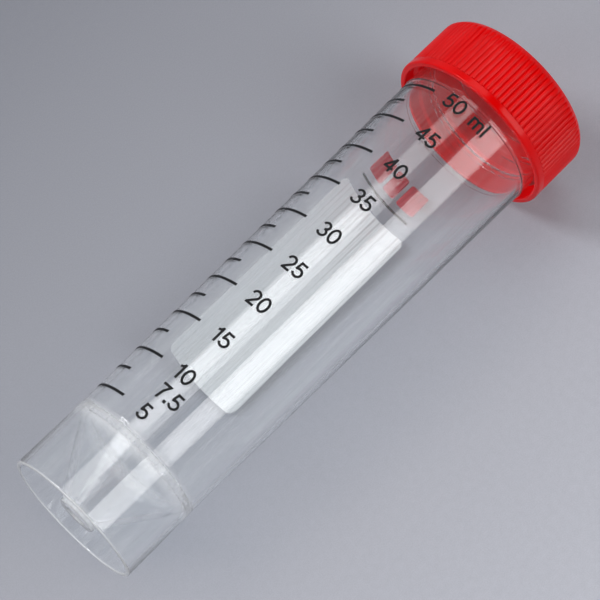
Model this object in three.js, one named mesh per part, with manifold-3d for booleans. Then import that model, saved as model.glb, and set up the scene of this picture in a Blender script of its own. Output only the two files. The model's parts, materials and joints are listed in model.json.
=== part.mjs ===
// A 50 ml self-standing centrifuge tube with a screw cap, lying on its side.
//
// Every shape is made round the tube's own axis, which is +X. x = 0 is the foot, the open end of the
// support skirt, and x grows towards the cap. Angles go round +X: 0 is the top (+Z) and they grow
// towards -Y, so printed matter reads along growing angles with its head towards the cap.
// The last lines lay this down in the part's frame: +Z up, the origin under the middle of the tube.
// All lengths are millimetres and all angles degrees unless a name says otherwise.

import * as THREE from 'three';
import { mergeVertices } from 'three/addons/utils/BufferGeometryUtils.js';
import Module from 'manifold-3d';

// ---- Driving dimensions ----

// Moulded tube: a slightly tapered barrel with a conical bottom inside a support skirt.
const TUBE_LENGTH = 115;
const WALL = 1.0;
const BARREL_LOW = { x: 16, r: 13.76 };
const BARREL_HIGH = { x: 102.4, r: 14.83 };
const CONE_TOP_X = 16.5;
const CONE_TIP = { x: 1.95, r: 3.0, flatR: 2.1, rise: 0.45 };
const CONE_BLEND = { below: 0.9, above: 0.8 };
const NUB = { x: 0.9, r: 4.0, edge: 0.4, height: 0.8 };
const SKIRT = { footR: 13.92, topR: 13.80, innerFootR: 13.02, innerTopR: 12.90, top: 15.6 };
const POCKET = { x: 14.5, dome: 0.15, outerDrop: 0.3, innerDrop: 0.2 };
const RIM_EDGE = 0.25;
const GROOVE = { width: 0.3, depth: 0.12 };
const NECK = { r: 14.85, beadR: 14.97, beadLength: 0.5, beadEdge: 0.1 };

// Screw thread, single start, right handed. The cap's ridge lies half a pitch from the neck's.
const PITCH = 4;
const THREAD = { rootWidth: 1.6, crestWidth: 0.8, sunk: 0.3, fade: 0.12, endRise: 0.05 };
const NECK_THREAD = { x: 106.4, startTurn: 0, turns: 1.5, crestR: 15.65 };
const CAP_THREAD = { x: 106.4, startTurn: 0.5, turns: 1.25, crestR: 15.3 };

// Cap: a ribbed shell with a smooth band round its mouth.
const CAP = { mouthX: 104.3, topX: 117.5, innerR: 16.15, innerTopX: 116.05, innerEdge: 0.4, topEdge: 1.5 };
const BAND = { r: 17.35, topX: 105.9, edge: 0.35 };
const RIBS = { count: 90, crestR: 17.3, floorR: 16.98, x0: 105.8, x1: 115.9, crestShare: 0.5 };
const RIB_FLOOR_OVER_SHELL = 0.03;

// Seal liner: a loose disc inside the cap, over the tube's mouth.
const LINER = { r: 15.2, x: 115.15, thickness: 0.75, edge: 0.15 };

// Printed ink. Each film lies just above the wall and is far thinner than the wall.
const INK = { lift: 0.06, thickness: 0.1 };
const LINE_WIDTH = 0.55;
const MAJOR_LINE = { from: -78.5, to: -25.4 };
const MINOR_LINE = { from: -78.5, to: -42.1 };
const FIRST_ML = 5;
const LAST_ML = 50;
const STEP_ML = 2.5;
const MAJOR_ML = 5;
const LABEL = { height: 3.15, stroke: 0.155, advance: 0.74, middle: -2.3 };
const UNIT_MIDDLE = 18;
const PATCH = { x0: 36.2, x1: 84.8, from: 167, to: 248, corner: 1.6 };
const MARK = { x: 92.5, middle: 207.5, height: 5.2, widths: [4.6, 3.2, 4.6], gap: 0.9, corner: 0.5 };
const MARK_RULE = { x: 88.2, width: 0.5, length: 14.6 };

// Round surfaces are cut into this many flats.
const TUBE_SIDES = 60;
const CAP_SIDES = 72;
const THREAD_SIDES = 30;
const INK_STEP_DEG = 6;
const CORNER_STEPS = 4;
const GLYPH_ARC_STEP_DEG = 15;

// ---- Small helpers ----

const wasm = await Module();
wasm.setup();

const radians = THREE.MathUtils.degToRad;
const { lerp, clamp, mapLinear } = THREE.MathUtils;

/** A copy of a geometry with only positions, its shared corners merged and no empty triangles. */
function bare(geometry) {
  const clean = geometry.clone();
  clean.deleteAttribute('normal');
  clean.deleteAttribute('uv');
  const merged = mergeVertices(clean, 1e-5);
  const kept = [];
  const index = merged.index.array;
  for (let i = 0; i < index.length; i += 3) {
    const [a, b, c] = [index[i], index[i + 1], index[i + 2]];
    if (a !== b && b !== c && c !== a) kept.push(a, b, c);
  }
  merged.setIndex(kept);
  return merged;
}

function toSolid(geometry) {
  const mesh = bare(geometry);
  return new wasm.Manifold(new wasm.Mesh({
    numProp: 3,
    vertProperties: new Float32Array(mesh.attributes.position.array),
    triVerts: new Uint32Array(mesh.index.array),
  }));
}

function fromSolid(solid) {
  const { vertProperties, triVerts } = solid.getMesh();
  const geometry = new THREE.BufferGeometry();
  geometry.setAttribute('position', new THREE.BufferAttribute(vertProperties, 3));
  geometry.setIndex(new THREE.BufferAttribute(triVerts, 1));
  return geometry;
}

function joined(geometries) {
  if (geometries.length === 1) return bare(geometries[0]);
  return fromSolid(geometries.map(toSolid).reduce((all, next) => all.add(next)));
}

/** Turns a section of [x, r] points round the X axis. Its outside is listed from the cap end down. */
function turned(section, sides) {
  const points = section.map(([x, r]) => new THREE.Vector2(r, x)).reverse();
  return new THREE.LatheGeometry(points, sides).rotateZ(-Math.PI / 2);
}

/** Moves each vertex of a geometry by place(x, y, z), which returns [x, angle in radians, radius]. */
function wrapped(geometry, place) {
  const position = geometry.attributes.position;
  for (let i = 0; i < position.count; i += 1) {
    const [x, angle, r] = place(position.getX(i), position.getY(i), position.getZ(i));
    position.setXYZ(i, x, -r * Math.sin(angle), r * Math.cos(angle));
  }
  return geometry;
}

// ---- Sizes that follow from the driving ones ----

/** The barrel's outer radius, a straight taper up to the neck. */
function barrelRadius(x) {
  return mapLinear(x, BARREL_LOW.x, BARREL_HIGH.x, BARREL_LOW.r, BARREL_HIGH.r);
}

const coneTopR = barrelRadius(CONE_TOP_X) - WALL;
const coneSlope = (coneTopR - CONE_TIP.r) / (CONE_TOP_X - CONE_TIP.x);
const coneWallR = WALL * Math.hypot(1, coneSlope);

/** The radius of the space inside the tube. */
function boreRadius(x) {
  if (x > CONE_TOP_X) return barrelRadius(x) - WALL;
  return CONE_TIP.r + coneSlope * (x - CONE_TIP.x);
}

function coneOuterRadius(x) {
  return boreRadius(x) + coneWallR;
}

function frustumVolume(length, r0, r1) {
  return (Math.PI * length * (r0 * r0 + r0 * r1 + r1 * r1)) / 3;
}

/** Millilitres held below the level x when the tube stands on its skirt. */
function volumeBelow(x) {
  const coneEnd = Math.min(x, CONE_TOP_X);
  const cone = frustumVolume(coneEnd - CONE_TIP.x, CONE_TIP.r, boreRadius(coneEnd));
  const barrel = frustumVolume(x - coneEnd, coneTopR, barrelRadius(x) - WALL);
  return (cone + Math.max(0, barrel)) / 1000;
}

/** The level that a volume reaches, found by halving. */
function levelOf(millilitres) {
  let low = CONE_TIP.x;
  let high = TUBE_LENGTH;
  for (let i = 0; i < 40; i += 1) {
    const middle = (low + high) / 2;
    if (volumeBelow(middle) < millilitres) low = middle;
    else high = middle;
  }
  return (low + high) / 2;
}

// ---- Screw threads ----

/** A trapezoid ridge on a helix. rootR is inside the wall it grows from and crestR is in the open. */
function threadRidge({ x, startTurn, turns, crestR }, wallR) {
  const rootR = wallR - Math.sign(crestR - wallR) * THREAD.sunk;
  const box = new THREE.BoxGeometry(turns, 1, 1, Math.round(turns * THREAD_SIDES), 1, 1);
  return wrapped(box, (along, side, height) => {
    const turn = along + turns / 2;
    const rise = clamp(Math.min(turn, turns - turn) / (THREAD.fade * turns), THREAD.endRise, 1);
    const outerEdge = height > 0;
    const onCrest = outerEdge === crestR > wallR;
    const r = onCrest ? lerp(rootR, crestR, rise) : rootR;
    const width = onCrest ? lerp(THREAD.rootWidth, THREAD.crestWidth, rise) : THREAD.rootWidth;
    // Seen from outside the ridge runs the way of growing angle, so its side axis is +X.
    return [x + PITCH * turn + side * width, (startTurn + turn) * 2 * Math.PI, r];
  });
}

// ---- Moulded pieces ----

function tubeBody() {
  const pocketInnerX = POCKET.x - POCKET.innerDrop;
  const blendStart = CONE_TOP_X - CONE_BLEND.below;
  const blendEnd = CONE_TOP_X + CONE_BLEND.above;
  const beadEnd = BARREL_HIGH.x + NECK.beadLength;
  const nubTop = NUB.x + NUB.height;
  const rimInnerR = NECK.r - WALL;
  const section = [
    // inside, from the bottom of the cone to the mouth
    [CONE_TIP.x, 0],
    [CONE_TIP.x, CONE_TIP.flatR],
    [CONE_TIP.x + CONE_TIP.rise, boreRadius(CONE_TIP.x + CONE_TIP.rise)],
    [blendStart, boreRadius(blendStart)],
    [blendEnd, boreRadius(blendEnd)],
    [BARREL_HIGH.x, boreRadius(BARREL_HIGH.x)],
    [TUBE_LENGTH - RIM_EDGE, rimInnerR],
    [TUBE_LENGTH, rimInnerR + RIM_EDGE],
    // neck and the bead where the barrel starts
    [TUBE_LENGTH, NECK.r - RIM_EDGE],
    [TUBE_LENGTH - RIM_EDGE, NECK.r],
    [beadEnd + NECK.beadEdge, NECK.r],
    [beadEnd, NECK.beadR],
    [BARREL_HIGH.x + NECK.beadEdge, NECK.beadR],
    [BARREL_HIGH.x, BARREL_HIGH.r],
    // barrel down to the fine groove above the skirt
    [BARREL_LOW.x + GROOVE.width / 2, barrelRadius(BARREL_LOW.x)],
    [BARREL_LOW.x, BARREL_LOW.r - GROOVE.depth],
    [BARREL_LOW.x - GROOVE.width / 2, BARREL_LOW.r - GROOVE.depth],
    [SKIRT.top, SKIRT.topR],
    // skirt, its foot and its inside
    [RIM_EDGE, SKIRT.footR],
    [0, SKIRT.footR - RIM_EDGE],
    [0, SKIRT.innerFootR + RIM_EDGE / 2],
    [RIM_EDGE / 2, SKIRT.innerFootR],
    [POCKET.x - POCKET.outerDrop, SKIRT.innerTopR],
    [POCKET.x + POCKET.dome, (SKIRT.innerTopR + coneOuterRadius(POCKET.x)) / 2],
    [pocketInnerX, coneOuterRadius(pocketInnerX)],
    // outside of the cone down to the flat nub
    [nubTop, coneOuterRadius(nubTop)],
    [NUB.x + NUB.edge, NUB.r],
    [NUB.x, NUB.r - NUB.edge],
    [NUB.x, 0],
  ];
  return joined([turned(section, TUBE_SIDES), threadRidge(NECK_THREAD, NECK.r)]);
}

/** The fine ribs of the cap's grip, as one toothed ring sunk into the shell. */
function ribRing() {
  const pitchAngle = (2 * Math.PI) / RIBS.count;
  const crestHalf = (pitchAngle * RIBS.crestShare) / 2;
  const shape = new THREE.Shape();
  for (let i = 0; i < RIBS.count; i += 1) {
    // A crest is centred straight down, where the cap touches what it lies on.
    const crest = i * pitchAngle - Math.PI / 2;
    for (const [r, angle] of [
      [RIBS.crestR, crest - crestHalf],
      [RIBS.crestR, crest + crestHalf],
      [RIBS.floorR, crest + pitchAngle / 2],
    ]) {
      const [y, z] = [r * Math.cos(angle), r * Math.sin(angle)];
      if (i === 0 && angle === crest - crestHalf) shape.moveTo(y, z);
      else shape.lineTo(y, z);
    }
  }
  const hole = new THREE.Path();
  const holeR = (CAP.innerR + RIBS.floorR) / 2;
  hole.absarc(0, 0, holeR, 0, 2 * Math.PI, true);
  shape.holes.push(hole);
  const options = { depth: RIBS.x1 - RIBS.x0, bevelEnabled: false, curveSegments: CAP_SIDES };
  // The outline's axes are Y and Z, and it is extruded along X.
  const toYZX = new THREE.Matrix4().set(0, 0, 1, RIBS.x0, 1, 0, 0, 0, 0, 1, 0, 0, 0, 0, 0, 1);
  return new THREE.ExtrudeGeometry(shape, options).applyMatrix4(toYZX);
}

function screwCap() {
  const shellR = RIBS.floorR - RIB_FLOOR_OVER_SHELL;
  const edgeR = shellR - CAP.topEdge;
  const edge = [];
  for (const share of [0, 0.33, 0.67, 1]) {
    const angle = (share * Math.PI) / 2;
    edge.push([
      CAP.topX - CAP.topEdge * (1 - Math.cos(angle)),
      edgeR + CAP.topEdge * Math.sin(angle),
    ]);
  }
  const section = [
    // outside, from the middle of the top to the mouth
    [CAP.topX, 0],
    ...edge,
    [BAND.topX + BAND.edge, shellR],
    [BAND.topX, BAND.r],
    [CAP.mouthX + BAND.edge, BAND.r],
    [CAP.mouthX, BAND.r - BAND.edge],
    // inside, back to the middle
    [CAP.mouthX, CAP.innerR + BAND.edge / 2],
    [CAP.mouthX + BAND.edge / 2, CAP.innerR],
    [CAP.innerTopX - CAP.innerEdge, CAP.innerR],
    [CAP.innerTopX, CAP.innerR - CAP.innerEdge],
    [CAP.innerTopX, 0],
  ];
  return joined([turned(section, CAP_SIDES), ribRing(), threadRidge(CAP_THREAD, CAP.innerR)]);
}

function sealLiner() {
  const { r, x, thickness, edge } = LINER;
  return bare(turned([
    [x + thickness, 0],
    [x + thickness, r - edge],
    [x + thickness - edge, r],
    [x + edge, r],
    [x, r - edge],
    [x, 0],
  ], TUBE_SIDES));
}

// ---- Printed pieces ----

/** Bends a flat film onto the barrel. In the flat, +X reads along the print, +Y is towards the cap. */
function printedAt(flat, x, middleAngle) {
  return bare(wrapped(flat, (along, up, above) => {
    const wall = barrelRadius(x + up);
    return [x + up, radians(middleAngle) + along / wall, wall + INK.lift + above];
  }));
}

/** Where a bar's columns stand along the print, and how far each is drawn in to round its corners. */
function barColumns(length, steps, corner) {
  const end = [];
  for (let i = 0; i < CORNER_STEPS; i += 1) {
    const angle = ((i / CORNER_STEPS) * Math.PI) / 2;
    end.push([length / 2 - corner * (1 - Math.cos(angle)), corner * (1 - Math.sin(angle))]);
  }
  const reach = length / 2 - corner;
  const middle = Array.from({ length: steps + 1 }, (_, i) => [lerp(-reach, reach, i / steps), 0]);
  if (corner === 0) return middle;
  return [...end.map(([along, inset]) => [-along, inset]), ...middle, ...end.reverse()];
}

/** A film between two angles and two levels, its corners rounded if a radius is given. */
function printedBar(x0, x1, from, to, corner = 0) {
  const middleX = (x0 + x1) / 2;
  const length = radians(to - from) * barrelRadius(middleX);
  const steps = Math.max(2, Math.ceil((to - from) / INK_STEP_DEG));
  const columns = barColumns(length, steps, corner);
  const last = columns.length - 1;
  const flat = new THREE.BoxGeometry(last, x1 - x0, INK.thickness, last, 1, 1);
  const position = flat.attributes.position;
  for (let i = 0; i < position.count; i += 1) {
    const [along, inset] = columns[Math.round(position.getX(i) + last / 2)];
    const up = position.getY(i);
    position.setXY(i, along, up - Math.sign(up) * inset);
  }
  return printedAt(flat.translate(0, 0, INK.thickness / 2), middleX, (from + to) / 2);
}

/** Points on part of an ellipse, from angle a0 to angle a1. */
function arc(cx, cy, rx, ry, a0, a1) {
  const steps = Math.ceil(Math.abs(a1 - a0) / GLYPH_ARC_STEP_DEG);
  return Array.from({ length: steps + 1 }, (_, i) => {
    const angle = radians(lerp(a0, a1, i / steps));
    return [cx + rx * Math.cos(angle), cy + ry * Math.sin(angle)];
  });
}

// Each glyph is a list of pen strokes in a box one unit high, with its width for spacing.
const GLYPHS = {
  0: { width: 0.66, loops: [arc(0.33, 0.5, 0.2675, 0.4375, 0, 360).slice(0, -1)] },
  1: { width: 0.5, strokes: [[[0.36, 0], [0.36, 1]], [[0.1, 0.755], [0.25, 0.8], [0.36, 0.93]]] },
  2: {
    width: 0.66,
    strokes: [
      [...arc(0.33, 0.675, 0.255, 0.2625, 172, -38), [0.11, 0.07]],
      [[0.045, 0.0625], [0.61, 0.0625]],
    ],
  },
  3: {
    width: 0.66,
    strokes: [arc(0.32, 0.725, 0.225, 0.2125, 168, -90), arc(0.32, 0.2875, 0.2575, 0.225, 90, -168)],
  },
  4: {
    width: 0.68,
    strokes: [[[0.47, 0], [0.47, 1]], [[0.02, 0.27], [0.66, 0.27]], [[0.5, 0.96], [0.08, 0.29]]],
  },
  5: {
    width: 0.66,
    strokes: [
      [[0.57, 0.9375], [0.165, 0.9375], [0.1, 0.47]],
      [[0.07, 0.5], ...arc(0.315, 0.32, 0.27, 0.2575, 125, -162)],
    ],
  },
  7: { width: 0.64, strokes: [[[0.05, 0.9375], [0.585, 0.9375], [0.36, 0.55], [0.25, 0]]] },
  '.': { width: 0.22, strokes: [[[0.01, 0.0775], [0.21, 0.0775]], [[0.01, 0.1225], [0.21, 0.1225]]] },
  m: {
    width: 0.92,
    strokes: [
      [[0.0625, 0], [0.0625, 0.72]],
      [...arc(0.246, 0.49, 0.184, 0.17, 180, 0), [0.43, 0]],
      [...arc(0.614, 0.49, 0.184, 0.17, 180, 0), [0.798, 0]],
    ],
  },
  l: { width: 0.18, strokes: [[[0.0625, 0], [0.0625, 1]]] },
};

/** The two sides of a pen stroke, as offset points with mitred corners. */
function strokeSides(points, closed) {
  const half = LABEL.stroke / 2;
  const last = points.length - 1;
  const direction = (from, to) => new THREE.Vector2(to[0] - from[0], to[1] - from[1]).normalize();
  const sides = { left: [], right: [] };
  points.forEach(([x, y], i) => {
    const before = i > 0 ? points[i - 1] : closed && points[last];
    const after = i < last ? points[i + 1] : closed && points[0];
    const inward = direction(before || points[i], before ? points[i] : after);
    const outward = after ? direction(points[i], after) : inward;
    const reach = half / (1 + inward.dot(outward));
    const [dx, dy] = [-(inward.y + outward.y) * reach, (inward.x + outward.x) * reach];
    sides.left.push(new THREE.Vector2(x + dx, y + dy));
    sides.right.push(new THREE.Vector2(x - dx, y - dy));
  });
  return sides;
}

function strokeShape(points) {
  const { left, right } = strokeSides(points, false);
  return new THREE.Shape([...left, ...right.reverse()]);
}

function loopShape(points) {
  const { left, right } = strokeSides(points, true);
  const shape = new THREE.Shape(right);
  shape.holes.push(new THREE.Path(left.reverse()));
  return shape;
}

/** One character as a flat film, its lower left corner at the origin. */
function glyphFilm(character) {
  const { strokes = [], loops = [] } = GLYPHS[character];
  const shapes = [...strokes.map(strokeShape), ...loops.map(loopShape)];
  const options = { depth: INK.thickness / LABEL.height, bevelEnabled: false };
  const films = shapes.map((shape) => new THREE.ExtrudeGeometry(shape, options));
  return joined(films).scale(LABEL.height, LABEL.height, LABEL.height);
}

function textWidth(text) {
  const last = text[text.length - 1];
  return [...text.slice(0, -1)].reduce((sum, c) => sum + glyphAdvance(c), GLYPHS[last].width);
}

function glyphAdvance(character) {
  return GLYPHS[character].width + LABEL.advance - GLYPHS[0].width;
}

/** The characters of one label, centred on a level and an angle. */
function printedText(text, x, middleAngle) {
  let along = -textWidth(text) / 2;
  return [...text].map((character) => {
    const film = glyphFilm(character);
    film.translate(along * LABEL.height, -LABEL.height / 2, 0);
    along += glyphAdvance(character);
    return printedAt(film, x, middleAngle);
  });
}

// ---- Materials ----

function material(color, roughness, extra = {}) {
  return new THREE.MeshStandardMaterial({ color, roughness, metalness: 0, ...extra });
}

const clearPlastic = () => material('#c3ccd4', 0.15, { transparent: true, opacity: 0.4 });
const redPlastic = () => material('#dd0a10', 0.35);
const linerPlastic = () => material('#c8161b', 0.5);
const blackInk = () => material('#1b1c1e', 0.45);
const whiteInk = () => material('#f2f2ef', 0.6);
const redInk = () => material('#d02a35', 0.5);

// ---- Assembly ----

const tube = new THREE.Group();

function addPiece(name, geometry, pieceMaterial) {
  geometry.computeVertexNormals();
  const mesh = new THREE.Mesh(geometry, pieceMaterial);
  mesh.name = name;
  tube.add(mesh);
}

addPiece('tube_body', tubeBody(), clearPlastic());
addPiece('screw_cap', screwCap(), redPlastic());
addPiece('seal_liner', sealLiner(), linerPlastic());
const patch = printedBar(PATCH.x0, PATCH.x1, PATCH.from, PATCH.to, PATCH.corner);
addPiece('writing_patch', patch, whiteInk());

for (let ml = FIRST_ML; ml <= LAST_ML; ml += STEP_ML) {
  const level = levelOf(ml);
  const line = ml % MAJOR_ML === 0 ? MAJOR_LINE : MINOR_LINE;
  const bar = printedBar(level - LINE_WIDTH / 2, level + LINE_WIDTH / 2, line.from, line.to);
  addPiece(`graduation_${ml}ml`, bar, blackInk());
}

const labelled = [5, 7.5, 10, 15, 20, 25, 30, 35, 40, 45, 50];
const labelMiddles = { 5: -3.3, 7.5: 1.8, 50: -5.5 };
for (const ml of labelled) {
  const characters = printedText(String(ml), levelOf(ml), labelMiddles[ml] ?? LABEL.middle);
  characters.forEach((film, i) => addPiece(`numeral_${ml}_${i + 1}`, film, blackInk()));
}
printedText('ml', levelOf(LAST_ML), UNIT_MIDDLE).forEach((film, i) => {
  addPiece(`unit_letter_${'ml'[i]}`, film, blackInk());
});

// A plain printed mark of blocks over a thin rule, beyond the writing patch.
const markDegrees = (length) => THREE.MathUtils.radToDeg(length / barrelRadius(MARK.x));
const markWidth = MARK.widths.reduce((sum, w) => sum + w, MARK.gap * (MARK.widths.length - 1));
let markEdge = -markWidth / 2;
MARK.widths.forEach((width, i) => {
  const [x0, x1] = [MARK.x - MARK.height / 2, MARK.x + MARK.height / 2];
  const [from, to] = [markEdge, markEdge + width].map((d) => MARK.middle + markDegrees(d));
  addPiece(`printed_mark_${i + 1}`, printedBar(x0, x1, from, to, MARK.corner), redInk());
  markEdge += width + MARK.gap;
});
const ruleHalfAngle = markDegrees(MARK_RULE.length / 2);
addPiece('printed_mark_rule', printedBar(
  MARK_RULE.x - MARK_RULE.width / 2,
  MARK_RULE.x + MARK_RULE.width / 2,
  MARK.middle - ruleHalfAngle,
  MARK.middle + ruleHalfAngle,
), blackInk());

// Lying down: the cap's band touches z = 0 and the origin is under the middle of the length.
tube.position.set(-CAP.topX / 2, 0, BAND.r);
const part = new THREE.Group();
part.add(tube);

export default part;
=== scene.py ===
import json
import math

import bmesh
import bpy
import numpy as np
from mathutils import Matrix, Vector

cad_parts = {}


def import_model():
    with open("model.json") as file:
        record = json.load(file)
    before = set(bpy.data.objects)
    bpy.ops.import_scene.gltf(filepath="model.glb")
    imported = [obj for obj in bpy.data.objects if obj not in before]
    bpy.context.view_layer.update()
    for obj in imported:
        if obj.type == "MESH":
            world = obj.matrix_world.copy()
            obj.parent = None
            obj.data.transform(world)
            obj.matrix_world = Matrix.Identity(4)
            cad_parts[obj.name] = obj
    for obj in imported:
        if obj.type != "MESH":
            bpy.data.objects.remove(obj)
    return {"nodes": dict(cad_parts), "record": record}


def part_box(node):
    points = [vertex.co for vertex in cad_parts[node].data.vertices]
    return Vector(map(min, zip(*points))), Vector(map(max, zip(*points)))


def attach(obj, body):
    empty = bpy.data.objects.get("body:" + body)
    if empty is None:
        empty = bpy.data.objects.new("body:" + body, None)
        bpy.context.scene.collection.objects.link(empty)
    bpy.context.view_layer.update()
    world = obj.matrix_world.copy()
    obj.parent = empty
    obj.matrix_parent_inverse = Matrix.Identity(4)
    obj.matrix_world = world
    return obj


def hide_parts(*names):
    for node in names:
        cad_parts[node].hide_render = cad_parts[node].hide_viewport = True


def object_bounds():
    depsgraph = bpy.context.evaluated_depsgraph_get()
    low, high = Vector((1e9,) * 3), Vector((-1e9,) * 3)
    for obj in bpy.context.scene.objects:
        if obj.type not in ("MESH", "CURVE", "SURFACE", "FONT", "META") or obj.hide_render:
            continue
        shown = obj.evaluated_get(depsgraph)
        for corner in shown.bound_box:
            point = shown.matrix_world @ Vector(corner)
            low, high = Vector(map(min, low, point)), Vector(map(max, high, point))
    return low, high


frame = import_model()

cad_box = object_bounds()

# ---- Where the CAD model lies ----
# Lengths below are millimetres along the tube's axis, x = 0 at the foot of the skirt, and radii
# from the axis. Angles go round the axis from the top, growing towards -Y, as in the CAD source.

MM = 0.001
FOOT_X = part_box("tube_body")[0].x
CAP_LOW, CAP_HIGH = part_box("screw_cap")
AXIS_Z = (CAP_LOW.z + CAP_HIGH.z) / 2
WHOLE_MIDDLE = (cad_box[0] + cad_box[1]) / 2

# Moulded tube
TUBE_LENGTH = 115.0
WALL = 1.0
BARREL_LOW_X, BARREL_LOW_R = 16.0, 13.76
BARREL_HIGH_X, BARREL_HIGH_R = 102.4, 14.83
CONE_TOP_X = 16.5
CONE_TIP_X, CONE_TIP_R = 1.95, 3.0
SEAM_R, SEAM_WIDTH = BARREL_LOW_R - 0.12, 0.15
SKIRT_TOP_R, SKIRT_FOOT_R = 13.80, 13.92
POCKET_TOP_R, POCKET_FOOT_R = 12.90, 13.02
POCKET_END_X, POCKET_SIDE_X = 14.65, 14.3
GATE_X, GATE_R = 0.9, 4.0
GATE_DIMPLE_DEPTH, GATE_DIMPLE_R, GATE_DIMPLE_EDGE_R = 0.3, 2.0, 2.3
NECK_R = 14.85
BEAD_R, BEAD_TOP_X = NECK_R + 0.12, BARREL_HIGH_X + 0.55
MOUTH_EDGE = 0.3
TUBE_COLUMNS = 240

# Screw threads
PITCH = 4.0
RIDGE_BASE, RIDGE_CREST, RIDGE_FADE = 1.38, 0.7, 0.12
NECK_THREAD_STEP, CAP_THREAD_STEP = 0.13, 0.16
NECK_THREAD = {"x": 106.4, "start": 0.0, "turns": 1.5, "height": 0.8}
CAP_THREAD = {"x": 106.4, "start": 0.5, "turns": 1.25, "height": -0.85}

# Cap
CAP_MOUTH_X, CAP_TOP_X = 104.3, 117.5
CAP_INNER_R, CAP_INNER_TOP_X = 16.15, 116.05
CAP_INNER_THREAD_END_X = 113.0
CAP_TOP_FLAT_R, CAP_TOP_EDGE = 12.0, 1.6
BAND_R, BAND_TOP_X = 17.35, 105.9
RIB_COUNT, RIB_COLUMNS = 90, 8
RIB_CREST_R, RIB_FLOOR_R = 17.3, 16.95
RIB_SHARPNESS = 2.4
RIB_END_X, RIB_END_FADE = 117.0, 1.2
RIB_STEP = 0.8

# Seal
LINER_LOW_X, LINER_HIGH_X, LINER_R, LINER_EDGE = 115.15, 115.9, 15.2, 0.2

# Ink films, thinner and closer to the wall than the CAD's
CAD_INK_LIFT, CAD_INK_THICKNESS = 0.06, 0.1
INK_LIFT, INK_THICKNESS = 0.008, 0.03
INK_CUT_DEG = 1.5
WELD = 0.002 * MM

# Angles above which an edge stays sharp
TUBE_EDGE_DEG, CAP_EDGE_DEG, INK_EDGE_DEG = 35, 50, 40

# A fillet takes up at most this share of the shorter side, so that two never meet.
MOST_OF_HALF = 0.49

NOISE_ROUGHNESS = 0.55

# The floor, and how far in from the edges of the band and the skirt it touches them
FLOOR_SIDE = 5000.0
FLOOR_TOUCH = 0.4


def barrel_radius(x):
    share = (x - BARREL_LOW_X) / (BARREL_HIGH_X - BARREL_LOW_X)
    return BARREL_LOW_R + share * (BARREL_HIGH_R - BARREL_LOW_R)


CONE_SLOPE = (barrel_radius(CONE_TOP_X) - WALL - CONE_TIP_R) / (CONE_TOP_X - CONE_TIP_X)


def cone_outer_radius(x):
    return CONE_TIP_R + CONE_SLOPE * (x - CONE_TIP_X) + WALL * math.hypot(1, CONE_SLOPE)


# ---- Mesh tools ----


def filleted(corners, step_deg=12):
    """The (x, radius) outline with corners of (x, radius, fillet), rounded by their fillets."""
    points = []
    for i, (x, r, fillet) in enumerate(corners):
        here = Vector((x, r))
        if not fillet:
            points.append(here)
            continue
        to_last = Vector(corners[i - 1][:2]) - here
        to_next = Vector(corners[i + 1][:2]) - here
        half = to_last.angle(to_next) / 2
        room = MOST_OF_HALF * min(to_last.length, to_next.length)
        setback = min(fillet / math.tan(half), room)
        start = here + to_last.normalized() * setback
        end = here + to_next.normalized() * setback
        steps = max(2, math.ceil((180 - math.degrees(2 * half)) / step_deg))
        for k in range(steps + 1):
            # A quadratic Bezier with the corner as its control point stays close to the arc.
            t = k / steps
            points.append(start * (1 - t) ** 2 + here * 2 * t * (1 - t) + end * t * t)
    return [(p.x, p.y) for p in points]


def round_angles(columns):
    """The columns' angles round the axis, in radians from the top."""
    return np.arange(columns) * (2 * np.pi / columns)


def ridge(x, angles, thread):
    """How far a helical ridge stands off its wall at level x, for each angle."""
    height = np.zeros_like(angles)
    for k in range(math.ceil(thread["turns"]) + 1):
        turn = (angles / (2 * np.pi) - thread["start"]) % 1 + k
        ends = np.minimum(turn, thread["turns"] - turn) / (RIDGE_FADE * thread["turns"])
        off = np.abs(x - thread["x"] - PITCH * turn)
        side = (RIDGE_BASE / 2 - off) / ((RIDGE_BASE - RIDGE_CREST) / 2)
        height = np.maximum(height, smooth(ends) * smooth(side))
    return height * thread["height"]


def smooth(t):
    """0 to 1 as t goes from 0 to 1, level at both ends."""
    t = np.clip(t, 0, 1)
    return t * t * (3 - 2 * t)


def skinned(name, rows, columns, edge_deg=TUBE_EDGE_DEG):
    """One closed mesh over rows of (x, radius or radii) round the axis. The end rows are points."""
    angles = round_angles(columns)
    rings = []
    for x, r in rows[1:-1]:
        r = np.broadcast_to(r, angles.shape)
        ring = [np.full_like(angles, x), -r * np.sin(angles), r * np.cos(angles)]
        rings.append(np.stack(ring, axis=1))
    ends = np.array([[rows[0][0], 0, 0], [rows[-1][0], 0, 0]])
    points = np.concatenate([*rings, ends]) * MM + np.array([FOOT_X, 0, AXIS_Z])
    here = np.arange(columns)
    beside = np.roll(here, -1)
    faces = []
    for i in range(len(rings) - 1):
        a, b = i * columns, (i + 1) * columns
        faces += np.stack([a + here, a + beside, b + beside, b + here], axis=1).tolist()
    last = (len(rings) - 1) * columns
    first_point, last_point = len(points) - 2, len(points) - 1
    faces += [[first_point, int(j), int(i)] for i, j in zip(here, beside)]
    faces += [[last_point, int(last + i), int(last + j)] for i, j in zip(here, beside)]
    return finished(name, points.tolist(), faces, edge_deg)


def finished(name, points, faces, edge_deg):
    """A piece from its points and faces, with the faces turned outwards."""
    mesh = bpy.data.meshes.new(name)
    mesh.from_pydata(points, [], faces)
    editable = bmesh.new()
    editable.from_mesh(mesh)
    bmesh.ops.recalc_face_normals(editable, faces=editable.faces)
    editable.to_mesh(mesh)
    editable.free()
    return shaded(name, mesh, edge_deg)


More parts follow.
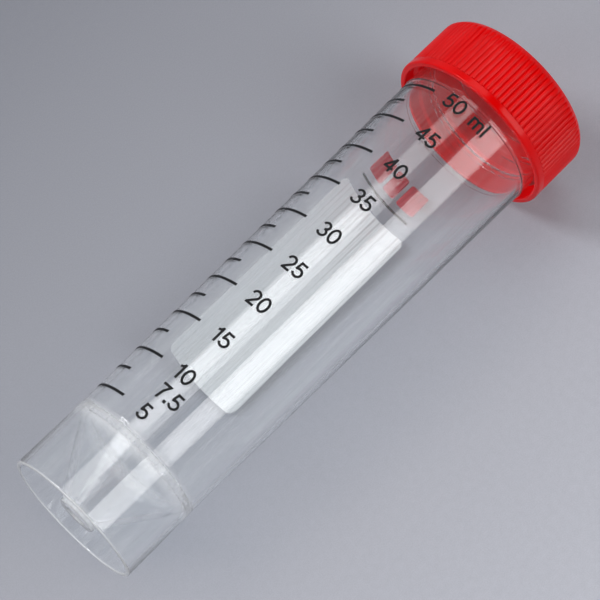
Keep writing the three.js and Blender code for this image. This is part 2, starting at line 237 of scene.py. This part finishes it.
def shaded(name, mesh, edge_deg):
    """A piece with smooth shading, except over edges sharper than an angle."""
    mesh.polygons.foreach_set("use_smooth", [True] * len(mesh.polygons))
    mesh.set_sharp_from_angle(angle=math.radians(edge_deg))
    piece = bpy.data.objects.new(name, mesh)
    bpy.context.scene.collection.objects.link(piece)
    return piece


def stands_for(piece, body, slot, material, *nodes):
    """Puts a piece in place of CAD nodes, riding on their body."""
    piece.data.materials.append(material)
    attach(piece, body)
    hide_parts(*nodes)


# ---- Material tools ----


class Graph:
    """A material's node tree, with short calls for the nodes used here."""

    def __init__(self, name):
        self.material = bpy.data.materials.new(name)
        self.material.use_nodes = True
        self.tree = self.material.node_tree
        self.tree.nodes.clear()

    def add(self, kind, **inputs):
        node = self.tree.nodes.new(kind)
        for key, value in inputs.items():
            self.put(node.inputs[key.replace("_", " ")], value)
        return node

    def put(self, socket, value):
        if isinstance(value, bpy.types.NodeSocket):
            self.tree.links.new(value, socket)
        else:
            socket.default_value = value

    def place(self, scale, shift=(0, 0, 0)):
        """Object coordinates in metres times scale, then shifted."""
        coordinates = self.add("ShaderNodeTexCoord").outputs["Object"]
        mapping = self.add("ShaderNodeMapping", Vector=coordinates, Scale=scale, Location=shift)
        return mapping.outputs["Vector"]

    def part_of_place(self, axis):
        """One object coordinate, in metres."""
        parts = self.add("ShaderNodeSeparateXYZ", Vector=self.place((1, 1, 1)))
        return parts.outputs[axis]

    def from_axis(self):
        """The distance from the tube's axis, in metres."""
        return self.length(self.place((0, 1, 1), (0, 0, -AXIS_Z)))

    def noise(self, scale, detail, stretch=(1, 1, 1)):
        noise = self.add(
            "ShaderNodeTexNoise",
            Vector=self.place(stretch),
            Scale=scale,
            Detail=detail,
            Roughness=NOISE_ROUGHNESS,
        )
        return noise.outputs["Fac"]

    def ranged(self, value, low, high, to_low, to_high):
        node = self.add("ShaderNodeMapRange", Value=value)
        keys = ("From Min", "From Max", "To Min", "To Max")
        for key, number in zip(keys, (low, high, to_low, to_high)):
            self.put(node.inputs[key], number)
        return node.outputs["Result"]

    def along(self, x, start, end):
        """0 to 1 between two levels on the axis, in millimetres, from an object X in metres."""
        return self.ranged(x, FOOT_X + start * MM, FOOT_X + end * MM, 0, 1)

    def mixed(self, factor, a, b):
        node = self.add("ShaderNodeMix")
        node.data_type = "RGBA"
        sockets = [s for s in node.inputs if s.type == "RGBA"]
        self.put(node.inputs["Factor"], factor)
        for socket, value in zip(sockets, (a, b)):
            self.put(socket, value)
        return next(s for s in node.outputs if s.type == "RGBA")

    def length(self, vector):
        node = self.add("ShaderNodeVectorMath")
        node.operation = "LENGTH"
        self.put(node.inputs[0], vector)
        return node.outputs["Value"]

    def math(self, operation, a, b):
        node = self.add("ShaderNodeMath")
        node.operation = operation
        for i, value in enumerate((a, b)):
            self.put(node.inputs[i], value)
        return node.outputs[0]

    def bump(self, height, distance, strength):
        node = self.add("ShaderNodeBump", Height=height, Distance=distance, Strength=strength)
        return node.outputs["Normal"]

    def shader(self, **inputs):
        return self.add("ShaderNodeBsdfPrincipled", **inputs).outputs["BSDF"]

    def done(self, shader):
        output = self.add("ShaderNodeOutputMaterial")
        self.tree.links.new(shader, output.inputs["Surface"])
        return self.material


def clear_haze(g, streaks):
    """The share of light the clear wall scatters, from place to place."""
    x = g.part_of_place("X")
    # The thick ring over the skirt and the thin foot rim scatter more light than the plain wall.
    ring = g.math("MULTIPLY", g.along(x, 12.6, 15.2), g.along(x, 16.9, 15.6))
    foot = g.along(x, 0.45, 0.1)
    thick = g.math("ADD", g.math("MULTIPLY", ring, 0.24), g.math("MULTIPLY", foot, 0.5))
    # Draw lines run along the wall, which is clearest towards the neck.
    lines = g.ranged(streaks, 0.45, 0.7, 0.032, 0.115)
    lines = g.math("MULTIPLY", lines, g.ranged(x, -42 * MM, 45 * MM, 1, 0.3))
    # The moulding's gate at the cone's tip is rough.
    near_axis = g.ranged(g.from_axis(), 5.5 * MM, 4.5 * MM, 0, 1)
    gate = g.math("MULTIPLY", g.along(x, 3.2, 1.6), near_axis)
    plain = g.math("ADD", thick, lines)
    return g.math("ADD", plain, g.math("MULTIPLY", gate, 0.3))


def clear_plastic():
    """Moulded polypropylene: clear, a little hazy, with faint draw lines along the tube."""
    g = Graph("clear_plastic")
    streaks = g.noise(1.0, detail=4, stretch=(7, 1700, 1700))
    clouds = g.noise(90, detail=2)
    height = g.math("ADD", streaks, g.math("MULTIPLY", clouds, 2.5))
    plastic = g.shader(
        Base_Color=(0.972, 0.982, 0.99, 1),
        Roughness=g.ranged(streaks, 0.3, 0.7, 0.02, 0.05),
        IOR=1.49,
        Transmission_Weight=g.math("SUBTRACT", 1.0, clear_haze(g, streaks)),
        Normal=g.bump(height, 0.00001, 0.3),
    )
    # Light for the print and the floor comes straight through the wall.
    path = g.add("ShaderNodeLightPath").outputs
    straight = g.math("MAXIMUM", path["Is Shadow Ray"], path["Is Diffuse Ray"])
    through = g.add("ShaderNodeBsdfTransparent", Color=(0.95, 0.96, 0.968, 1)).outputs[0]
    mix = g.add("ShaderNodeMixShader", Fac=straight)
    g.tree.links.new(plastic, mix.inputs[1])
    g.tree.links.new(through, mix.inputs[2])
    return g.done(mix.outputs[0])


def red_plastic():
    """The cap's polyethylene, with a fine moulded grain, a slightly uneven colour and a painted red
    glow inside.
    """
    g = Graph("red_plastic")
    grain = g.noise(2600, detail=3)
    clouds = g.ranged(g.noise(160, detail=3), 0.3, 0.7, 0, 1)
    color = g.mixed(clouds, (0.74, 0.0, 0.0, 1), (0.82, 0.001, 0.002, 1))
    # The wall lets a little red light through. Here that light is painted: the cap's inside faces,
    # below its top, give off a faint red glow.
    near_axis = g.ranged(g.from_axis(), 16.7 * MM, 16.5 * MM, 0, 1)
    below_top = g.along(g.part_of_place("X"), 116.3, 116.1)
    inside = g.math("MULTIPLY", near_axis, below_top)
    plastic = g.shader(
        Base_Color=color,
        Roughness=g.ranged(grain, 0.3, 0.7, 0.13, 0.2),
        IOR=1.52,
        Specular_IOR_Level=0.16,
        # Painted glow: emission on the inside faces only, not a lamp.
        Emission_Color=(1, 0.004, 0.012, 1),
        Emission_Strength=g.math("MULTIPLY", inside, 0.08),
        Normal=g.bump(grain, 0.00002, 0.3),
    )
    return g.done(plastic)


def liner_plastic():
    """The seal's softer polyethylene, duller than the cap, with a faint painted red glow."""
    g = Graph("liner_plastic")
    grain = g.noise(1800, detail=3)
    clouds = g.ranged(g.noise(220, detail=2), 0.3, 0.7, 0, 1)
    color = g.mixed(clouds, (0.52, 0.006, 0.01, 1), (0.62, 0.012, 0.018, 1))
    plastic = g.shader(
        Base_Color=color,
        Roughness=g.ranged(grain, 0.3, 0.7, 0.4, 0.55),
        IOR=1.5,
        # Painted glow: the seal gives off a faint, even red light of its own.
        Emission_Color=(1, 0.006, 0.016, 1),
        Emission_Strength=0.03,
        Normal=g.bump(grain, 0.00002, 0.4),
    )
    return g.done(plastic)


def ink(name, dark, light, roughness):
    """Screen print: an even colour that thins a little in specks and patches."""
    g = Graph(name)
    specks = g.noise(5200, detail=2)
    clouds = g.noise(420, detail=3)
    patches = g.ranged(clouds, 0.3, 0.7, 0.3, 1)
    cover = g.math("MULTIPLY", g.ranged(specks, 0.35, 0.75, 0, 1), patches)
    coat = g.shader(
        Base_Color=g.mixed(cover, dark, light),
        Roughness=g.ranged(clouds, 0.3, 0.7, roughness, roughness + 0.12),
        IOR=1.5,
        Specular_IOR_Level=0.3,
        Normal=g.bump(specks, 0.00001, 0.5),
    )
    return g.done(coat)


def floor_material():
    """Grey paper with a soft grain and fine speckles, and painted light: its colour grows paler
    towards -Y, where more light falls.
    """
    g = Graph("studio_floor")
    grain = g.noise(700, detail=4)
    speckle = g.noise(3800, detail=2)
    # Painted light fall-off: the floor is paler towards -Y and darker towards +Y.
    painted_light_falloff = g.ranged(g.part_of_place("Y"), 120 * MM, -120 * MM, 0, 1)
    color = g.mixed(painted_light_falloff, (0.200, 0.207, 0.241, 1), (0.675, 0.684, 0.750, 1))
    fine = g.mixed(g.ranged(grain, 0.3, 0.7, 0, 0.12), color, (0.33, 0.34, 0.37, 1))
    fine = g.mixed(g.ranged(speckle, 0.35, 0.65, 0, 0.09), fine, (0.1, 0.1, 0.12, 1))
    paper = g.shader(Base_Color=fine, Roughness=0.8, Normal=g.bump(grain, 0.00004, 0.3))
    return g.done(paper)


# ---- Pieces ----


def tube_rows():
    """The tube's outline, from the inside of the cone round the mouth and back to the gate."""
    rows = filleted([
        (CONE_TIP_X, 0, 0),
        (CONE_TIP_X, CONE_TIP_R - 0.4, 0.9),
        (CONE_TOP_X, barrel_radius(CONE_TOP_X) - WALL, 3.0),
        (BARREL_HIGH_X, barrel_radius(BARREL_HIGH_X) - WALL, 0),
        (TUBE_LENGTH, NECK_R - WALL, MOUTH_EDGE),
        (TUBE_LENGTH, NECK_R, MOUTH_EDGE),
        (TUBE_LENGTH - 0.4, NECK_R, 0),
    ])
    angles = round_angles(TUBE_COLUMNS)
    for x in np.arange(TUBE_LENGTH - 0.5, BEAD_TOP_X + 0.5, -NECK_THREAD_STEP):
        rows.append((float(x), NECK_R + ridge(x, angles, NECK_THREAD)))
    return rows + filleted(barrel_corners() + skirt_corners() + cone_corners())


def barrel_corners():
    """From the neck over the bead and down the barrel to the seam above the skirt."""
    return [
        (BEAD_TOP_X + 0.4, NECK_R, 0),
        (BEAD_TOP_X, NECK_R, 0.12),
        (BEAD_TOP_X - 0.05, BEAD_R, 0.08),
        (BARREL_HIGH_X + 0.05, BEAD_R, 0.08),
        (BARREL_HIGH_X - 0.05, barrel_radius(BARREL_HIGH_X), 0.1),
        (BARREL_LOW_X + 0.2, barrel_radius(BARREL_LOW_X), 0.08),
        (BARREL_LOW_X, SEAM_R, 0.05),
        (BARREL_LOW_X - SEAM_WIDTH, SEAM_R, 0.05),
    ]


def skirt_corners():
    """From the seam down the skirt, round its foot rim and up into the pocket round the cone."""
    pocket_end_r = (POCKET_TOP_R + cone_outer_radius(14.5)) / 2
    return [
        (BARREL_LOW_X - 0.4, SKIRT_TOP_R, 0.2),
        (0.0, SKIRT_FOOT_R, 0.4),
        (0.0, POCKET_FOOT_R, 0.35),
        (POCKET_SIDE_X, POCKET_TOP_R, 0.8),
        (POCKET_END_X, pocket_end_r, 0.1),
    ]


def cone_corners():
    """From the pocket down the outside of the cone to the dimple in the gate at its tip."""
    dimple_x = GATE_X + GATE_DIMPLE_DEPTH
    return [
        (POCKET_SIDE_X, cone_outer_radius(POCKET_SIDE_X), 0.5),
        (GATE_X + 0.8, cone_outer_radius(GATE_X + 0.8), 0.6),
        (GATE_X, GATE_R, 0.45),
        (GATE_X, GATE_DIMPLE_EDGE_R, 0.2),
        (dimple_x, GATE_DIMPLE_R, 0.2),
        (dimple_x, 0, 0),
    ]


def ribbed(x, radius, angles):
    """The radius at level x of the cap's outside with the grip ribs on it, kept within the band."""
    if x <= BAND_TOP_X:
        return radius
    pitch = 2 * np.pi / RIB_COUNT
    off = np.abs((angles + pitch / 2) % pitch - pitch / 2) / (pitch / 2)
    top_fade = smooth((RIB_END_X - x) / RIB_END_FADE)
    band_fade = smooth((x - (BAND_TOP_X - 0.1)) / 0.25)
    relief = (RIB_CREST_R - RIB_FLOOR_R) * (1 - off ** RIB_SHARPNESS)
    return np.minimum(radius + relief * top_fade * band_fade, BAND_R)


def cap_outside():
    """From the middle of the cap's top down its grip and round the band into its mouth."""
    top = [(CAP_TOP_X, 0), (CAP_TOP_X, CAP_TOP_FLAT_R)]
    top += filleted([
        (CAP_TOP_X, 13, 0),
        (CAP_TOP_X, RIB_FLOOR_R, CAP_TOP_EDGE),
        (CAP_TOP_X - 4, RIB_FLOOR_R, 0),
    ], step_deg=8)
    levels = np.arange(CAP_TOP_X - 5, BAND_TOP_X + 0.6, -RIB_STEP)
    grip = [(float(x), RIB_FLOOR_R) for x in levels]
    band = filleted([
        (BAND_TOP_X + 0.5, RIB_FLOOR_R, 0),
        (BAND_TOP_X + 0.15, RIB_FLOOR_R, 0.1),
        (BAND_TOP_X - 0.1, BAND_R, 0.2),
        (CAP_MOUTH_X, BAND_R, 0.45),
        (CAP_MOUTH_X, CAP_INNER_R, 0.35),
        (CAP_MOUTH_X + 0.8, CAP_INNER_R, 0),
    ])
    return top + grip + band


def cap_rows(columns):
    """The cap's outline, from the middle of its top over the ribs and up the threaded inside."""
    angles = round_angles(columns)
    rows = [(x, ribbed(x, r, angles)) for x, r in cap_outside()]
    for x in np.arange(CAP_MOUTH_X + 1.0, CAP_INNER_THREAD_END_X, CAP_THREAD_STEP):
        rows.append((float(x), CAP_INNER_R + ridge(x, angles, CAP_THREAD)))
    return rows + filleted([
        (CAP_INNER_THREAD_END_X + 0.2, CAP_INNER_R, 0),
        (CAP_INNER_TOP_X, CAP_INNER_R, 0.5),
        (CAP_INNER_TOP_X, 12, 0),
        (CAP_INNER_TOP_X, 0, 0),
    ])


def liner_rows():
    """The seal's outline, a disc with rounded edges."""
    return filleted([
        (LINER_HIGH_X, 0, 0),
        (LINER_HIGH_X, LINER_R, LINER_EDGE),
        (LINER_LOW_X, LINER_R, LINER_EDGE),
        (LINER_LOW_X, 0, 0),
    ])


def ink_film(node, material, slot):
    """The CAD's printed film as a thinner one that follows the smooth wall."""
    editable = bmesh.new()
    editable.from_mesh(frame["nodes"][node].data)
    bmesh.ops.remove_doubles(editable, verts=editable.verts, dist=WELD)
    cut_lengthwise(editable)
    lay_on_wall(editable)
    bmesh.ops.remove_doubles(editable, verts=editable.verts, dist=WELD)
    bmesh.ops.dissolve_degenerate(editable, edges=editable.edges, dist=WELD)
    mesh = bpy.data.meshes.new("print_" + node)
    editable.to_mesh(mesh)
    editable.free()
    stands_for(shaded("print_" + node, mesh, INK_EDGE_DEG), "tube", slot, material, node)


def cut_lengthwise(editable):
    """Cuts the film along the tube every INK_CUT_DEG, so that its flats can bend."""
    full = 2 * math.pi
    angles = [math.atan2(-v.co.y, v.co.z - AXIS_Z) % full for v in editable.verts]
    # A film that crosses the top is measured from the bottom instead.
    crosses_top = max(angles) - min(angles) >= math.pi
    shift = math.pi if crosses_top else 0
    spread = [(a + math.pi) % full for a in angles] if crosses_top else angles
    step = math.radians(INK_CUT_DEG)
    for k in range(math.ceil(min(spread) / step), math.ceil(max(spread) / step)):
        angle = k * step - shift
        bmesh.ops.bisect_plane(
            editable,
            geom=editable.verts[:] + editable.edges[:] + editable.faces[:],
            dist=WELD,
            plane_co=(0, 0, AXIS_Z),
            plane_no=(0, math.cos(angle), math.sin(angle)),
        )


def lay_on_wall(editable):
    """Moves each point to the film's inner or outer face, just off the barrel's smooth wall."""
    for v in editable.verts:
        y, z = v.co.y / MM, (v.co.z - AXIS_Z) / MM
        wall = barrel_radius((v.co.x - FOOT_X) / MM)
        r = math.hypot(y, z)
        above = r - wall - CAD_INK_LIFT
        share = min(1, max(0, above / CAD_INK_THICKNESS * 2 - 0.5))
        new = (wall + INK_LIFT + share * INK_THICKNESS) / r * MM
        v.co.y, v.co.z = y * new, z * new + AXIS_Z


# ---- Scene ----


def floor(material):
    """A plane that the lying tube touches with the cap's band and with the foot of its skirt."""
    band = Vector((FOOT_X + (CAP_MOUTH_X + FLOOR_TOUCH) * MM, 0, AXIS_Z - BAND_R * MM))
    foot = Vector((FOOT_X + FLOOR_TOUCH * MM, 0, AXIS_Z - SKIRT_FOOT_R * MM))
    tilt = math.atan2(band.z - foot.z, band.x - foot.x)
    half = FLOOR_SIDE / 2 * MM
    corners = [(-half, -half, 0), (half, -half, 0), (half, half, 0), (-half, half, 0)]
    mesh = bpy.data.meshes.new("floor")
    mesh.from_pydata(corners, [], [(0, 1, 2, 3)])
    mesh.materials.append(material)
    plane = bpy.data.objects.new("floor", mesh)
    plane.matrix_world = Matrix.Translation(band) @ Matrix.Rotation(-tilt, 4, "Y")
    bpy.context.scene.collection.objects.link(plane)


def area_light(name, place, size, power):
    """A rectangular lamp that faces the object, with its own X axis along the tube."""
    light = bpy.data.lights.new(name, "AREA")
    light.shape = "RECTANGLE"
    light.size, light.size_y = size
    light.energy = power
    lamp = bpy.data.objects.new(name, light)
    back = (Vector(place) - WHOLE_MIDDLE).normalized()
    across = back.cross(Vector((1, 0, 0))).normalized()
    along = across.cross(back)
    turn = Matrix((along, across, back)).transposed().to_4x4()
    lamp.matrix_world = Matrix.Translation(place) @ turn
    bpy.context.scene.collection.objects.link(lamp)


def world(walls, ceiling, color):
    """Walls all round and a ceiling: each is the Z of its direction, and its brightness."""
    studio = bpy.data.worlds.new("studio")
    studio.use_nodes = True
    tree = studio.node_tree
    direction = tree.nodes.new("ShaderNodeTexCoord")
    parts = tree.nodes.new("ShaderNodeSeparateXYZ")
    ramp = tree.nodes.new("ShaderNodeMapRange")
    tree.links.new(direction.outputs["Generated"], parts.inputs[0])
    tree.links.new(parts.outputs["Z"], ramp.inputs["Value"])
    ramp.inputs["From Min"].default_value, ramp.inputs["To Min"].default_value = walls
    ramp.inputs["From Max"].default_value, ramp.inputs["To Max"].default_value = ceiling
    background = tree.nodes["Background"]
    background.inputs["Color"].default_value = color
    tree.links.new(ramp.outputs["Result"], background.inputs["Strength"])
    bpy.context.scene.world = studio


def camera(azimuth, elevation, distance, aim, lens):
    """Looks at aim from a distance in metres. Azimuth goes from -Y towards +X, in degrees."""
    a, e = math.radians(azimuth), math.radians(elevation)
    back = Vector((math.sin(a) * math.cos(e), -math.cos(a) * math.cos(e), math.sin(e)))
    data = bpy.data.cameras.new("camera")
    data.sensor_width = 36
    data.lens = lens
    data.clip_start, data.clip_end = 0.01, 50
    view = bpy.data.objects.new("camera", data)
    view.location = aim + back * distance
    view.rotation_mode = "QUATERNION"
    view.rotation_quaternion = (-back).to_track_quat("-Z", "Y")
    bpy.context.scene.collection.objects.link(view)
    bpy.context.scene.camera = view


# ---- Build ----

shell = skinned("tube_shell", tube_rows(), TUBE_COLUMNS)
stands_for(shell, "tube", "tube_plastic", clear_plastic(), "tube_body")

cap_columns = RIB_COUNT * RIB_COLUMNS
cap = skinned("cap_shell", cap_rows(cap_columns), cap_columns, CAP_EDGE_DEG)
stands_for(cap, "cap", "cap_plastic", red_plastic(), "screw_cap")

liner = skinned("liner_disc", liner_rows(), TUBE_COLUMNS)
stands_for(liner, "liner", "liner_plastic", liner_plastic(), "seal_liner")

inks = {
    "black_ink": ink("black_ink", (0.004, 0.004, 0.005, 1), (0.018, 0.018, 0.021, 1), 0.42),
    "white_ink": ink("white_ink", (0.94, 0.94, 0.935, 1), (0.86, 0.87, 0.875, 1), 0.5),
    "red_ink": ink("red_ink", (0.50, 0.004, 0.018, 1), (0.60, 0.02, 0.045, 1), 0.42),
}
for part in frame["record"]["subparts"]:
    slot = part["material_slot"]
    if slot in inks:
        ink_film(part["node"], inks[slot], slot)

floor(floor_material())

# Two softboxes over the object make the bright bands, the stronger one on the -Y side. The key
# light behind throws the shadows towards -Y, and a small one beyond the foot lights the cone.
area_light("strip", (0.31, -0.695, 0.735), (0.55, 0.67), 3.7)
area_light("overhead", (0.30, 0.245, 0.93), (0.55, 0.46), 1.6)
area_light("key", (-0.45, 0.75, 0.95), (0.35, 0.35), 6.2)
area_light("end", (-0.88, 0.30, 0.52), (0.4, 0.4), 1.8)
world(walls=(0.5, 0.48), ceiling=(0.85, 0.02), color=(0.93, 0.95, 1.0, 1))

bpy.context.scene.view_settings.view_transform = "Standard"
camera(
    azimuth=-46.706,
    elevation=66.716,
    distance=0.42097,
    aim=WHOLE_MIDDLE + Vector((-0.0009, -0.0003, 0)),
    lens=138.744,
)
